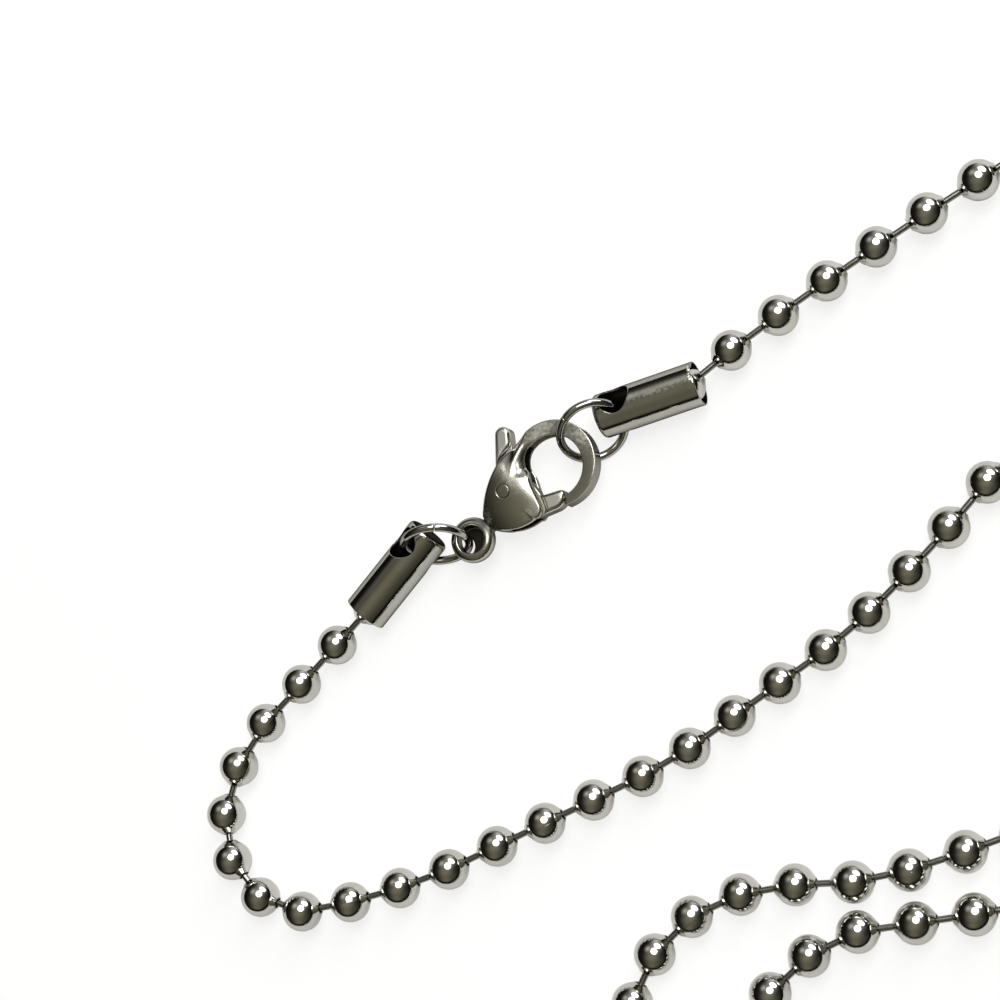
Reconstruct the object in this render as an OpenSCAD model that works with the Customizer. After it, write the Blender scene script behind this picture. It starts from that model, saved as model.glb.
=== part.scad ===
/* [Chain] */
// Diameter of a ball
ball_d = 2.4; // [2.3:0.05:2.4]
// Wall of a hollow ball
ball_wall = 0.2; // [0.15:0.01:0.22]
// Diameter of the link wire between two balls
stem_d = 0.4; // [0.3:0.02:0.42]
// Diameter of the hole that a link passes through
hole_d = 0.64; // [0.62:0.01:0.68]
// Diameter of the head that holds a link inside the next ball
head_d = 0.76; // [0.72:0.01:0.78]
// Distance of that head from the middle of its ball
head_at = 0.5; // [0.45:0.01:0.5]
// Diameter of the small collar round a hole
collar_d = 0.92; // [0.86:0.02:1]
// Height of that collar above the ball
collar_h = 0.05; // [0.03:0.01:0.08]

/* [End caps] */
// Outer diameter of a cap
cap_d = 2.7; // [2.68:0.01:2.8]
// Length of a cap
cap_len = 6.42; // [6.3:0.02:6.5]
// Gap between a cap's inside and the ball that it holds
cap_gap = 0.02; // [0.01:0.01:0.05]
// Width of the bevelled edge at the closed end
cap_edge = 0.34; // [0.3:0.02:0.4]
// Distance from the closed end to the middle of the cross hole
cross_at = 1.4; // [1.35:0.01:1.45]
// Diameter of the cross hole
cross_d = 2.1; // [2.06:0.02:2.16]

/* [Jump rings] */
// Outer diameter of a jump ring
ring_d = 4.45; // [4.4:0.01:4.5]
// Diameter of the ring wire
ring_wire = 0.5; // [0.45:0.01:0.52]

/* [Clasp] */
// Outer diameter of the base ring
base_d = 2.76; // [2.7:0.02:2.8]
// Diameter of the base ring's eye
base_eye_d = 1.66; // [1.66:0.02:1.8]
// Thickness of the base ring
base_h = 1; // [0.9:0.05:1.1]
// Outer radius of the hook
hook_r = 2.66; // [2.6:0.01:2.7]
// Thickness of the hook
hook_h = 1.4; // [1.3:0.05:1.45]
// Radius of the hook's eye
eye_r = 1.93; // [1.9:0.01:1.96]
// Thickness of the bulb at its crown
bulb_h = 2.3; // [2.2:0.05:2.4]
// Width of the rounded edges of the base ring and the hook
rim_w = 0.32; // [0.28:0.02:0.34]
// Radius of the bulb's domed faces
dome_r = 5.5; // [5:0.1:6]
// Width of the slot between the bulb's two plates
slot_h = 0.9; // [0.88:0.01:1]
// Diameter of the rivet pin
pin_d = 0.8; // [0.7:0.02:0.86]

/* [Lever] */
// Thickness of the lever inside the slot
lever_h = 0.8; // [0.7:0.02:0.84]
// Thickness of the thumb tab and the closing arm outside the bulb
lever_end_h = 1.3; // [1.2:0.05:1.4]
// Gap between the lever's bore and the pin
pin_gap = 0.03; // [0.01:0.01:0.08]
// Gap between the outer ends of the lever and the bulb
lever_gap = 0.1; // [0.08:0.01:0.14]

/* [Layout] */
// Place of the clasp's base ring from the middle of the laid-out necklace
clasp_at = [-27.49, 58.53]; // [-60:0.01:60]
// Turn of the clasp's length from the X axis
clasp_turn = 40; // [39:0.5:41]
// Height of the clasp's middle plane above the surface
clasp_z = 1.54; // [1.52:0.01:1.56]

/* [Hidden] */
$fn = 48;
// How far a cut runs past what it cuts
over = 0.5;
steel = "#8f8e82";

ball_r = ball_d / 2;
inner_r = ball_r - ball_wall;
cap_r = cap_d / 2;
cap_inner_r = ball_r + cap_gap;
cap_floor = 2 * (cap_r - cap_inner_r);
// Depth to which a link's foot is sunk in the wall of its own ball, all round
foot_bite = 0.05;
// Play of the rivet pin in the body, on the diameter
pin_fit = 0.02;
// Depth of the rivet pin's ends below the bulb's crown
pin_inset = 0.05;
// Gap between the end of the closing arm and the tip of the hook
seat_gap = 0.12;

// Ball rows of the chain as it lies: how many balls, distance to the next ball, turn at each ball
COUNT = 0;
PITCH = 1;
TURN = 2;
right_rows = [
    [1, 3.45, -1],
    [1, 3.42, -4],
    [4, 3.42, -1],
    [3, 3.35, 0],
    [24, 3.35, -8.5],
    [6, 3.35, 1],
    [1, 3.3, -2],
    [1, 3.3, 0],
    [2, 3.1, 17],
    [5, 3.25, 13],
    [22, 3.35, 0],
    [13, 3.3, -7.5]
];
left_rows = [
    [3, 3.35, 0],
    [1, 3.2, 11],
    [1, 3.05, 19],
    [1, 2.85, 25],
    [2, 2.95, 32],
    [1, 3.25, 27],
    [3, 3.35, 4.5],
    [3, 3.3, 0],
    [2, 3.25, 5],
    [2, 3.25, 0],
    [2, 3.25, 5],
    [2, 3.3, 2],
    [2, 3.3, -6],
    [12, 3.25, -17],
    [4, 3.3, 2],
    [1, 3.3, -2],
    [1, 3.25, -6],
    [1, 3.3, -9],
    [1, 3.25, 7],
    [1, 3.15, 14],
    [2, 3.1, 20],
    [2, 3.3, 6],
    [24, 3.35, 0],
    [14, 3.3, 7]
];

// The end caps as they lie, measured from the clasp's base ring: the ball that a cap holds, how
// deep it sits inside the open end, the way from the closed end to the open end, the way on
// which the chain leaves, and how far the top of the cross hole leans to the cap's left
BALL = 0;
DEPTH = 1;
AXIS = 2;
LEAVE = 3;
LEAN = 4;
right_cap = [[13.3, 8.47], 0.86, 15, 38, 26];
left_cap = [[-6.72, -3.68], 0.7, 228.5, -135.5, -24];

// The jump rings as they lie, measured from the clasp's base ring: the ring's centre, how far
// its plane leans from level, and the way in which its axis leans, so that it is highest at the
// opposite side
CENTRE = 0;
TILT = 1;
TOWARD = 2;
right_ring = [[7.68, 6.17, 1.82], 52.3, -56.8];
left_ring = [[-2.18, -0.21, 2.1], 68.3, -80.9];

// Plan of the clasp, u along its length from the base ring and v to the left
hook_centre = [6.82, -0.13];
eye_centre = [6.65, -0.22];
crown = [3.9, 0.23];
pivot = [3.5, 0.63];
flank_r = 8.2;
flank_centre = [6.8, 2.58 - flank_r];
belly_centre = [4.1, 1.28];
belly_r = 3.22;
heel_centre = [4, -1.3];
heel_r = 0.72;
hub_r = 0.95;
tab_root_r = 0.65;
tab_end = [5.56, 3.47];
tab_r = 0.5;
shoulder = [4.62, 0.25];
shoulder_r = 0.42;
elbow = [4.4, -1.4];
elbow_r = 0.6;
arm_end = [5.55, -1.9];
arm_r = 0.52;
// The arc on which the hook's tip ends, and the length of the pin
seat_r = norm(arm_end - pivot) + arm_r + seat_gap;
pin_h = bulb_h - 2 * pin_inset;

function polar(r, a) = r * [cos(a), sin(a)];
function lift(p, z) = [p[0], p[1], z];
function arc(centre, r, from, to, n = 12) =
    [for (i = [0 : n]) centre + polar(r, from + (to - from) * i / n)];

// One entry for each ball of a table, and the ball centres that they lead through
function each_ball(rows) = [for (row = rows, i = [1 : row[COUNT]]) row];
function walk(start, way, balls) = [
    for (i = 0, h = way, p = start; i <= len(balls);
         h = i < len(balls) ? h + balls[i][TURN] : h,
         p = i < len(balls) ? p + polar(balls[i][PITCH], h) : p,
         i = i + 1)
    lift(p, i == 0 ? cap_r : ball_r)
];
function strand(cap, rows) = walk(clasp_at + cap[BALL], cap[LEAVE], each_ball(rows));
right_balls = strand(right_cap, right_rows);
left_balls = strand(left_cap, left_rows);

// Puts the Z axis of its children on the line from one point toward another
module aim(from, toward) {
    d = toward - from;
    translate(from)
        rotate([0, acos(d[2] / norm(d)), atan2(d[1], d[0])])
            children();
}

// Puts the clasp's own plan on the surface
module on_clasp() {
    translate(lift(clasp_at, clasp_z)) rotate([0, 0, clasp_turn]) children();
}

// Hollow ball between its two neighbours, its surfaces started square to the chain, clear of the holes
module hollow_ball(at, sides) {
    along = sides[1] - sides[0];
    side_on = [0, 0, atan2(along[1], along[0]) + 90];
    difference() {
        union() {
            translate(at) rotate(side_on) sphere(ball_r);
            for (s = sides) aim(at, s) cylinder(d = collar_d, h = ball_r + collar_h);
        }
        translate(at) rotate(side_on) sphere(inner_r);
        for (s = sides) aim(at, s) cylinder(d = hole_d, h = ball_r + over);
    }
}

// Link fixed to its own ball at one end, with a head held loose in the next ball
module link(from, toward) {
    reach = norm(toward - from) - head_at;
    aim(from, toward) {
        translate([0, 0, inner_r - foot_bite]) {
            cylinder(d = stem_d, h = reach - inner_r + foot_bite);
            cylinder(d = hole_d + 2 * foot_bite, h = ball_wall);
        }
        translate([0, 0, reach]) sphere(d = head_d);
    }
}

// Balls in a row, each linked to the next one and the last one to the ball that the row joins;
// the hole at the start of the row is empty
module ball_chain(balls, joins) {
    last = len(balls) - 1;
    for (i = [0 : last]) {
        before = i > 0 ? balls[i - 1] : 2 * balls[0] - balls[1];
        after = i < last ? balls[i + 1] : joins;
        hollow_ball(balls[i], [before, after]);
        link(balls[i], after);
    }
}

module chain_right() {
    color(steel) ball_chain(right_balls, left_balls[len(left_balls) - 1]);
}

module chain_left() {
    last = len(left_balls) - 1;
    color(steel) {
        ball_chain([for (i = [0 : last - 1]) left_balls[i]], left_balls[last]);
        hollow_ball(left_balls[last], [left_balls[last - 1], right_balls[len(right_balls) - 1]]);
    }
}

// Drawn cup that lies on its side, open toward the chain, with its cross hole near the closed end
module end_cap(cap) {
    knee = 0.3 * cap_edge;
    outside = [[0, 0], [cap_r - cap_edge, 0], [cap_r - knee, knee], [cap_r, cap_edge],
               [cap_r, cap_len], [0, cap_len]];
    translate(lift(clasp_at + cap[BALL], cap_r)) rotate([0, 90, cap[AXIS]])
        translate([0, 0, cap[DEPTH] - cap_len]) difference() {
            rotate_extrude() polygon(outside);
            translate([0, 0, cap_floor]) cylinder(r = cap_inner_r, h = cap_len);
            translate([0, 0, cross_at]) rotate([0, 90, -cap[LEAN]])
                cylinder(d = cross_d, h = cap_d + 2 * over, center = true);
        }
}

module end_cap_right() {
    color(steel) end_cap(right_cap);
}

module end_cap_left() {
    color(steel) end_cap(left_cap);
}

module jump_ring(ring) {
    translate(lift(clasp_at, 0) + ring[CENTRE])
        rotate([0, 0, ring[TOWARD]]) rotate([0, ring[TILT], 0])
            rotate_extrude() translate([(ring_d - ring_wire) / 2, 0]) circle(d = ring_wire);
}

module jump_ring_right() {
    color(steel) jump_ring(right_ring);
}

module jump_ring_left() {
    color(steel) jump_ring(left_ring);
}

// Half section of a round plate, its rim rounded by short bevels that lead inward, or of the cut
// that makes a round eye, whose bevels lead outward
module rim_profile(r, h, side, reach) {
    top = [for (a = [0, 30, 60, 90]) [r, h / 2] - rim_w * [side * (1 - cos(a)), 1 - sin(a)]];
    upper = concat(top, [[top[3][0], reach], [0, reach]]);
    lower = [for (i = [5 : -1 : 0]) [upper[i][0], -upper[i][1]]];
    polygon(concat(lower, upper));
}

module round_plate(r, h) {
    rotate_extrude() rim_profile(r, h, 1, h / 2);
}

module round_eye(r, h) {
    rotate_extrude() rim_profile(r, h, -1, h / 2 + over);
}

// Outline of the bulb, from the neck along its belly and heel, up the eye side and back
function bulb_outline() = concat(
    arc(belly_centre, belly_r, 208, 266),
    arc(heel_centre, heel_r, 270, 350, 6),
    [[5.02, -0.35], [5.26, 0.26], [5.49, 0.72], [5.85, 1.3], [6.3, 1.75], [6.5, 2.23]],
    arc(flank_centre, flank_r, 92, 131)
);

// Both faces of the bulb are domed, and toward the hook they run out into the hook's own faces
module bulb() {
    intersection() {
        linear_extrude(bulb_h + 2 * over, center = true) polygon(bulb_outline());
        union() {
            intersection_for (side = [-1, 1])
                translate(lift(crown, side * (dome_r - bulb_h / 2))) sphere(dome_r, $fn = 96);
            translate([crown[0], 0, -hook_h / 2]) cube([4, 4, hook_h]);
        }
    }
}

// The hook's tip ends on an arc round the lever's pivot
module hook() {
    opening = concat([[5.4, 1.1], [4.1, -2.3], [4.1, -3.2]], arc(pivot, seat_r, -62, -30));
    difference() {
        translate(hook_centre) round_plate(hook_r, hook_h);
        translate(eye_centre) round_eye(eye_r, hook_h);
        linear_extrude(hook_h + 2 * over, center = true) polygon(opening);
    }
}

module clasp_body() {
    slot = [[2.25, -3.2], [2.25, 3.4], [6.2, 3.4], [4.95, 1.35], [5.3, 0.8], [5.8, 0.6], [5.6, -3.2]];
    color(steel) on_clasp() difference() {
        union() {
            round_plate(base_d / 2, base_h);
            bulb();
            hook();
        }
        round_eye(base_eye_d / 2, base_h);
        linear_extrude(slot_h, center = true) polygon(slot);
        translate(pivot) cylinder(d = pin_d + pin_fit, h = bulb_h + 2 * over, center = true);
    }
}

module clasp_pin() {
    color(steel) on_clasp() translate(pivot) cylinder(d = pin_d, h = pin_h, center = true);
}

module lever_plan() {
    hull() {
        translate(pivot) circle(tab_root_r);
        translate(tab_end) circle(tab_r);
    }
    hull() {
        translate(pivot) circle(hub_r);
        translate(shoulder) circle(shoulder_r);
        translate(elbow) circle(elbow_r);
    }
    hull() {
        translate(elbow) circle(elbow_r);
        translate(arm_end) circle(arm_r);
    }
}

module clasp_lever() {
    color(steel) on_clasp() difference() {
        union() {
            linear_extrude(lever_h, center = true) lever_plan();
            linear_extrude(lever_end_h, center = true) difference() {
                lever_plan();
                offset(delta = lever_gap) polygon(bulb_outline());
            }
        }
        translate(pivot) cylinder(d = pin_d + 2 * pin_gap, h = bulb_h, center = true);
    }
}

chain_right();
chain_left();
end_cap_right();
end_cap_left();
jump_ring_right();
jump_ring_left();
clasp_body();
clasp_lever();
clasp_pin();
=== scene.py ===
"""A polished ball chain necklace with a lobster clasp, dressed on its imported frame.

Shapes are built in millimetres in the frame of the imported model, and scaled once when they become objects.
"""
import sys
import logging
import math
from dataclasses import dataclass, field
from enum import Enum, IntEnum
from typing import Callable, NamedTuple, Sequence

import bpy
import numpy as np
from mathutils import Matrix, Vector


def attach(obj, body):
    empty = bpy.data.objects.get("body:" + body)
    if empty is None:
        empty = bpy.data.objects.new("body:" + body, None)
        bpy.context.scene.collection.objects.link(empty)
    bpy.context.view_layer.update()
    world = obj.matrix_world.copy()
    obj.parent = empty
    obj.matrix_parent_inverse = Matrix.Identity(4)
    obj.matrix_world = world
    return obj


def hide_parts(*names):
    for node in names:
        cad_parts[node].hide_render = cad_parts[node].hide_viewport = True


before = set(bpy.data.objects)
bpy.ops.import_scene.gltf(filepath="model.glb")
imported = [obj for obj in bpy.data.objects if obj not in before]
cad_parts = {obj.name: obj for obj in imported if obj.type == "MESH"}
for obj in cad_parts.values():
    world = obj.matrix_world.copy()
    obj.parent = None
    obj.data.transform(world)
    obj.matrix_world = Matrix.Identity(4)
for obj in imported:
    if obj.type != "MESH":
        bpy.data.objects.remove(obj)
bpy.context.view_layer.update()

LOG = logging.getLogger("necklace")
MM = 0.001
SEED = 11
SHARP_FROM = 50.0
NO_LENGTH = 1e-9
UP = np.array([0.0, 0.0, 1.0])

Array = np.ndarray
Form = Callable[[Array, Array, Array], Array]
Colour = tuple[float, float, float]


class Side(Enum):
    """The two halves of the necklace, named by where they lie beside the clasp."""

    RIGHT = "right"
    LEFT = "left"


class Steel(Enum):
    """The record's material slots."""

    CHAIN = "chain_steel"
    CAP = "cap_steel"
    WIRE = "wire_steel"
    CLASP = "clasp_steel"


class Body(Enum):
    """The rigid bodies that pieces ride on."""

    NECKLACE = "necklace"
    LEVER = "lever"


def polar(radius: float, degrees: float) -> Array:
    """Point of the plan at a radius and an angle."""
    return radius * np.array([math.cos(math.radians(degrees)), math.sin(math.radians(degrees))])


def arc(centre: Sequence[float], radius: float, start: float, end: float, steps: int) -> Array:
    """Points along a round stretch of an outline.

    Args:
        centre: Middle of the circle.
        radius: Its radius.
        start: Angle of the first point, in degrees.
        end: Angle of the last point, in degrees.
        steps: Number of equal steps between them.

    Returns:
        One row for each point.
    """
    return np.array([centre + polar(radius, a) for a in np.linspace(start, end, steps + 1)])


def unit(v: Array) -> Array:
    """Vector of length one along another."""
    return v / np.linalg.norm(v)


def turned(points: Array, degrees: float) -> Array:
    """Turns points about the Z axis.

    Args:
        points: One row for each point.
        degrees: How far they turn, counter-clockwise seen from above.

    Returns:
        The turned points.
    """
    a = math.radians(degrees)
    x, y, z = points.T
    return np.stack([x * math.cos(a) - y * math.sin(a), x * math.sin(a) + y * math.cos(a), z], axis=1)


@dataclass
class Skin:
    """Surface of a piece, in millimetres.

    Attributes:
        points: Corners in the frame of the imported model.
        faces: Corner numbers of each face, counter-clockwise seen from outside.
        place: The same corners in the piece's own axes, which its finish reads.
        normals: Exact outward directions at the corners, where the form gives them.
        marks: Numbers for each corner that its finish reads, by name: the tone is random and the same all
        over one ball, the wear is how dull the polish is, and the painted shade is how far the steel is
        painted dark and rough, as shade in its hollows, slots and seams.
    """

    points: Array
    faces: list[Sequence[int]]
    place: Array
    normals: Array | None = None
    marks: dict[str, Array] = field(default_factory=dict)


@dataclass(frozen=True)
class Spot:
    """A soft-edged place on a piece, in the piece's own axes.

    Attributes:
        centre: Its middle.
        reach: How far it reaches along each axis.
        amount: How strong it is in its middle.
    """

    centre: tuple[float, float, float]
    reach: tuple[float, float, float]
    amount: float = 1.0

    def at(self, points: Array) -> Array:
        """Its strength at points."""
        return self.amount * np.exp(-(((points - self.centre) / self.reach)**2).sum(axis=1))


def strongest(spots: Sequence[Spot], points: Array) -> Array:
    """The strongest of several spots, at each point."""
    return np.max([spot.at(points) for spot in spots], axis=0)


def tube_faces(rings: int, sides: int, left_handed: bool = False) -> list[list[int]]:
    """Faces of a tube with closed ends, whose corners are numbered ring by ring.

    Args:
        rings: Number of rings along the tube.
        sides: Number of corners in each ring.
        left_handed: Whether the corners go round the way along the tube by the left hand, not by the right.

    Returns:
        Corner numbers of each face, counter-clockwise seen from outside.
    """
    number = np.arange(rings * sides).reshape(-1, sides)
    after = np.roll(number, -1, axis=1)
    quads = np.stack([number[:-1], after[:-1], after[1:], number[1:]], axis=-1).reshape(-1, 4)
    ends = [number[0, ::-1].tolist(), number[-1].tolist()]
    if left_handed:
        quads = quads[:, [0, 3, 2, 1]]
        ends = [end[::-1] for end in ends]
    return [*quads.tolist(), *ends]


def add_piece(name: str, node: str, body: Body, slot: Steel, skin: Skin,
              material: bpy.types.Material) -> None:
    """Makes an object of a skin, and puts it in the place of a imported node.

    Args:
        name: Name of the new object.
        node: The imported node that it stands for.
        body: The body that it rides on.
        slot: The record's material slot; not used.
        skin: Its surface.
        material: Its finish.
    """
    mesh = bpy.data.meshes.new(name)
    mesh.from_pydata((skin.points * MM).tolist(), [], skin.faces)
    mesh.shade_smooth()
    if skin.normals is None:
        mesh.set_sharp_from_angle(angle=math.radians(SHARP_FROM))
    else:
        mesh.normals_split_custom_set_from_vertices(skin.normals.tolist())
    mesh.attributes.new("place", "FLOAT_VECTOR", "POINT").data.foreach_set("vector", skin.place.ravel())
    for mark, values in skin.marks.items():
        mesh.attributes.new(mark, "FLOAT", "POINT").data.foreach_set("value", values)
    mesh.materials.append(material)
    piece = bpy.data.objects.new(name, mesh)
    bpy.context.scene.collection.objects.link(piece)
    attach(piece, body.value)
    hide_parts(node)
    triangles = sum(len(face) - 2 for face in skin.faces)
    LOG.info("%s: %d triangles, stands for %s", name, triangles, node)


class Row(NamedTuple):
    """A run of equal steps of the chain: number of balls, distance to the next ball, turn at each ball."""

    count: int
    pitch: float
    turn: float


# Both halves of the chain, from the end cap to the middle of the chain
RIGHT_ROWS = [
    Row(1, 3.45, -1),
    Row(1, 3.42, -4),
    Row(4, 3.42, -1),
    Row(3, 3.35, 0),
    Row(24, 3.35, -8.5),
    Row(6, 3.35, 1),
    Row(1, 3.3, -2),
    Row(1, 3.3, 0),
    Row(2, 3.1, 17),
    Row(5, 3.25, 13),
    Row(22, 3.35, 0),
    Row(13, 3.3, -7.5),
]
LEFT_ROWS = [
    Row(3, 3.35, 0),
    Row(1, 3.2, 11),
    Row(1, 3.05, 19),
    Row(1, 2.85, 25),
    Row(2, 2.95, 32),
    Row(1, 3.25, 27),
    Row(3, 3.35, 4.5),
    Row(3, 3.3, 0),
    Row(2, 3.25, 5),
    Row(2, 3.25, 0),
    Row(2, 3.25, 5),
    Row(2, 3.3, 2),
    Row(2, 3.3, -6),
    Row(12, 3.25, -17),
    Row(4, 3.3, 2),
    Row(1, 3.3, -2),
    Row(1, 3.25, -6),
    Row(1, 3.3, -9),
    Row(1, 3.25, 7),
    Row(1, 3.15, 14),
    Row(2, 3.1, 20),
    Row(2, 3.3, 6),
    Row(24, 3.35, 0),
    Row(14, 3.3, 7),
]


@dataclass(frozen=True)
class Layout:
    """Where the sub-assemblies lie, in millimetres from the middle of the laid-out necklace."""

    clasp_at: tuple[float, float] = (-27.49, 58.53)
    clasp_turn: float = 40.0
    clasp_z: float = 1.54

    def from_clasp(self, x: float, y: float, z: float = 0.0) -> Array:
        """Point that is given from the middle of the clasp's base ring, at a height over the surface."""
        return np.array([self.clasp_at[0] + x, self.clasp_at[1] + y, z])

    def on_clasp(self, points: Array) -> Array:
        """Points of the clasp's own axes, set on the surface where the clasp lies."""
        return turned(points, self.clasp_turn) + self.from_clasp(0, 0, self.clasp_z)


LAYOUT = Layout()


class NeckRing(NamedTuple):
    """A ring of a ball's neck: distance from the chain's axis, distance along it, and painted shade."""

    radius: float
    along: float
    painted_shade: float


@dataclass(frozen=True)
class Ball:
    """Form that all balls of the chain share.

    Attributes:
        radius: Radius of the ball.
        neck_r: Distance from the chain's axis at which the neck round a hole starts.
        neck: Rings of the neck, from there into the hole.
        wire_r: Radius of the link wire.
        wire_painted_shade: How far the wire outside the holes is painted dark, as shade between the balls.
        pocket: Distance from the ball's middle at which the wire starts, inside the hole.
        foot: Distance from the ball's middle at which the ball's part of the wire ends.
        sides: Number of corners round the chain.
        arc_steps: Number of steps from the ball's widest place to its neck.
        bend_over: Latitude from which a hole faces its neighbour, in degrees.
    """

    radius: float = 1.2
    neck_r: float = 0.57
    neck: tuple[NeckRing, ...] = (
        NeckRing(0.49, 1.12, 0),
        NeckRing(0.43, 1.165, 0),
        NeckRing(0.375, 1.21, 0.1),
        NeckRing(0.33, 1.225, 0.4),
        NeckRing(0.3, 1.21, 0.9),
        NeckRing(0.29, 1.15, 1),
    )
    wire_r: float = 0.2
    wire_painted_shade: float = 0.5
    pocket: float = 1.0
    foot: float = 1.25
    sides: int = 28
    arc_steps: int = 10
    bend_over: float = 55.0

    def half_outline(self) -> Array:
        """Half of the ball's outline, from its widest place to the foot of the link wire.

        Returns:
            Rows of distance from the axis, distance along it, and painted shade.
        """
        neck_from = math.degrees(math.acos(self.neck_r / self.radius))
        shell = arc([0, 0], self.radius, 0, neck_from, self.arc_steps)
        unshaded = np.zeros((len(shell), 1))
        wire = [[self.wire_r, self.pocket, 1], [self.wire_r, self.foot, self.wire_painted_shade]]
        return np.vstack([np.hstack([shell, unshaded]), self.neck, wire])

    def outline(self) -> Array:
        """The ball's whole outline, from one wire to the other."""
        half = self.half_outline()
        return np.vstack([half[:0:-1] * [1, -1, 1], half])

    def rings(self, here: Array, back: Array, front: Array, roll: float) -> tuple[Array, Array]:
        """Rings of one ball, bent so that each hole faces its own neighbour.

        Args:
            here: Middle of the ball.
            back: Middle of the ball before it.
            front: Middle of the ball after it.
            roll: Turn of the ball's own axes about the chain, in radians.

        Returns:
            The points, ring by ring, and the same points in the ball's own axes.
        """
        came, goes = unit(here - back), unit(front - here)
        along = unit(came + goes)
        high = unit(UP - UP.dot(along) * along)
        side = np.cross(high, along)
        r, h, _ = self.outline().T
        around = np.linspace(0, 2 * math.pi, self.sides, endpoint=False)
        flat = r[:, None, None] * (np.cos(around)[:, None] * side + np.sin(around)[:, None] * high)
        straight = flat + h[:, None, None] * along
        hinge = np.cross(came, goes)
        if np.linalg.norm(hinge) > NO_LENGTH:
            hinge = unit(hinge)
            latitude = np.clip(np.degrees(np.arctan2(h, r)) / self.bend_over, -1, 1)
            bend = math.acos(np.clip(came.dot(goes), -1, 1)) / 2 * np.sin(latitude * math.pi / 2)
            c, s = np.cos(bend)[:, None, None], np.sin(bend)[:, None, None]
            straight = (straight * c + np.cross(hinge, straight) * s
                        + hinge * (straight @ hinge)[:, :, None] * (1 - c))
        spun = around + roll
        own = np.stack([r[:, None] * np.cos(spun), r[:, None] * np.sin(spun),
                        np.repeat(h[:, None], self.sides, axis=1)], axis=2)
        return straight + here, own


@dataclass
class BallChain:
    """One half of the chain: hollow balls on link wires, as one skin from end to end.

    Attributes:
        side: Which half it is.
        centres: Middles of the balls.
        before: Place that the first ball's empty hole faces.
        after: Middle of the ball that the last one is linked to.
        reaches: Whether the wire between the two halves belongs to this one.
        ball: Form of the balls.
        wire_short: How far short of the next ball's wire that wire ends.
    """

    side: Side
    centres: Array
    before: Array
    after: Array
    reaches: bool
    ball: Ball = field(default_factory=Ball)
    wire_short: float = 0.01

    def skin(self, dice: np.random.Generator) -> Skin:
        """Builds the skin, ring by ring along the chain.

        Args:
            dice: Source of each ball's roll and tone.

        Returns:
            The closed skin.
        """
        line = [self.before, *self.centres, self.after]
        # Shade is painted dark into each hole and onto the wire between the balls
        painted_shades = np.repeat(self.ball.outline()[:, 2:], self.ball.sides, axis=1)
        points, place, tone, painted_shade = [], [], [], []
        for back, here, front in zip(line, line[1:], line[2:]):
            around, own = self.ball.rings(here, back, front, dice.uniform(0, 2 * math.pi))
            points.append(around)
            place.append(own)
            tone.append(np.full(around.shape[:2], dice.uniform()))
            painted_shade.append(painted_shades)
        stop = -1
        if self.reaches:
            way = unit(self.after - self.centres[-1])
            length = np.linalg.norm(self.after - self.centres[-1]) - self.ball.foot - self.ball.pocket
            points.append(points[-1][-1:] + way * (length - self.wire_short))
            for rows in (place, tone, painted_shade):
                rows.append(rows[-1][-1:])
            stop = None
        points, place, tone, painted_shade = (np.vstack(rows)[1:stop] for rows in (points, place, tone, painted_shade))
        return Skin(points.reshape(-1, 3), tube_faces(len(points), self.ball.sides), place.reshape(-1, 3),
                    marks={"tone": tone.ravel(), "painted_shade": painted_shade.ravel()})

    def build(self, material: bpy.types.Material, dice: np.random.Generator) -> None:
        """Builds this half and puts it in the place of its node."""
        half = self.side.value
        add_piece(f"ball_chain_{half}", f"chain_{half}", Body.NECKLACE, Steel.CHAIN, self.skin(dice), material)


def walk(start: Array, way: float, rows: Sequence[Row], height: float) -> Array:
    """Middles of the balls along one half of the chain.

    Args:
        start: Middle of the first ball, which its end cap carries.
        way: Angle on which the chain leaves it, in degrees.
        rows: The runs of steps.
        height: Height at which the other balls lie.

    Returns:
        One row for each ball, the one after the last run included.
    """
    centres = [start]
    for row in rows:
        for _ in range(row.count):
            way += row.turn
            step = polar(row.pitch, way)
            x, y, _ = centres[-1]
            centres.append(np.array([x + step[0], y + step[1], height]))
    return np.array(centres)


def soft_max(a: Array, b: Array, width: float) -> Array:
    """Common part of two forms, its edge rounded over a width."""
    overlap = np.maximum(width - np.abs(a - b), 0) / width
    return np.maximum(a, b) + overlap**2 * width / 4


def soft_min(a: Array, b: Array, width: float) -> Array:
    """Union of two forms, its inner corner filled over a width."""
    return -soft_max(-a, -b, width)


def fade(value: Array, start: float, end: float) -> Array:
    """Rises smoothly from 0 at one value to 1 at another."""
    t = np.clip((value - start) / (end - start), 0, 1)
    return t * t * (3 - 2 * t)


def plate(plan: Array, z: Array, half: float, edge: Array | float) -> Array:
    """Plate with rounded edges.

    Args:
        plan: Distance from the plate's outline in the plan, negative inside.
        z: Height from the plate's middle plane.
        half: Half of its thickness.
        edge: Radius of its edges.

    Returns:
        Distance from the plate, negative inside.
    """
    a, b = plan + edge, np.abs(z) - half + edge
    return np.minimum(np.maximum(a, b), 0) + np.hypot(np.maximum(a, 0), np.maximum(b, 0)) - edge


def disc(u: Array, v: Array, centre: Sequence[float], radius: float) -> Array:
    """Distance in the plan from a circle."""
    return np.hypot(u - centre[0], v - centre[1]) - radius


def capsule(u: Array, v: Array, a: Sequence[float], a_r: float, b: Sequence[float], b_r: float) -> Array:
    """Distance in the plan from the band that wraps two circles of nearly the same radius.

    Args:
        u: Places along the first axis of the plan.
        v: Places along its second axis.
        a: Middle of the first circle.
        a_r: Its radius.
        b: Middle of the second circle.
        b_r: Its radius.

    Returns:
        The distances, negative inside.
    """
    way = np.subtract(b, a)
    along = np.clip(((u - a[0]) * way[0] + (v - a[1]) * way[1]) / way.dot(way), 0, 1)
    return np.hypot(u - a[0] - along * way[0], v - a[1] - along * way[1]) - a_r - along * (b_r - a_r)


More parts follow.
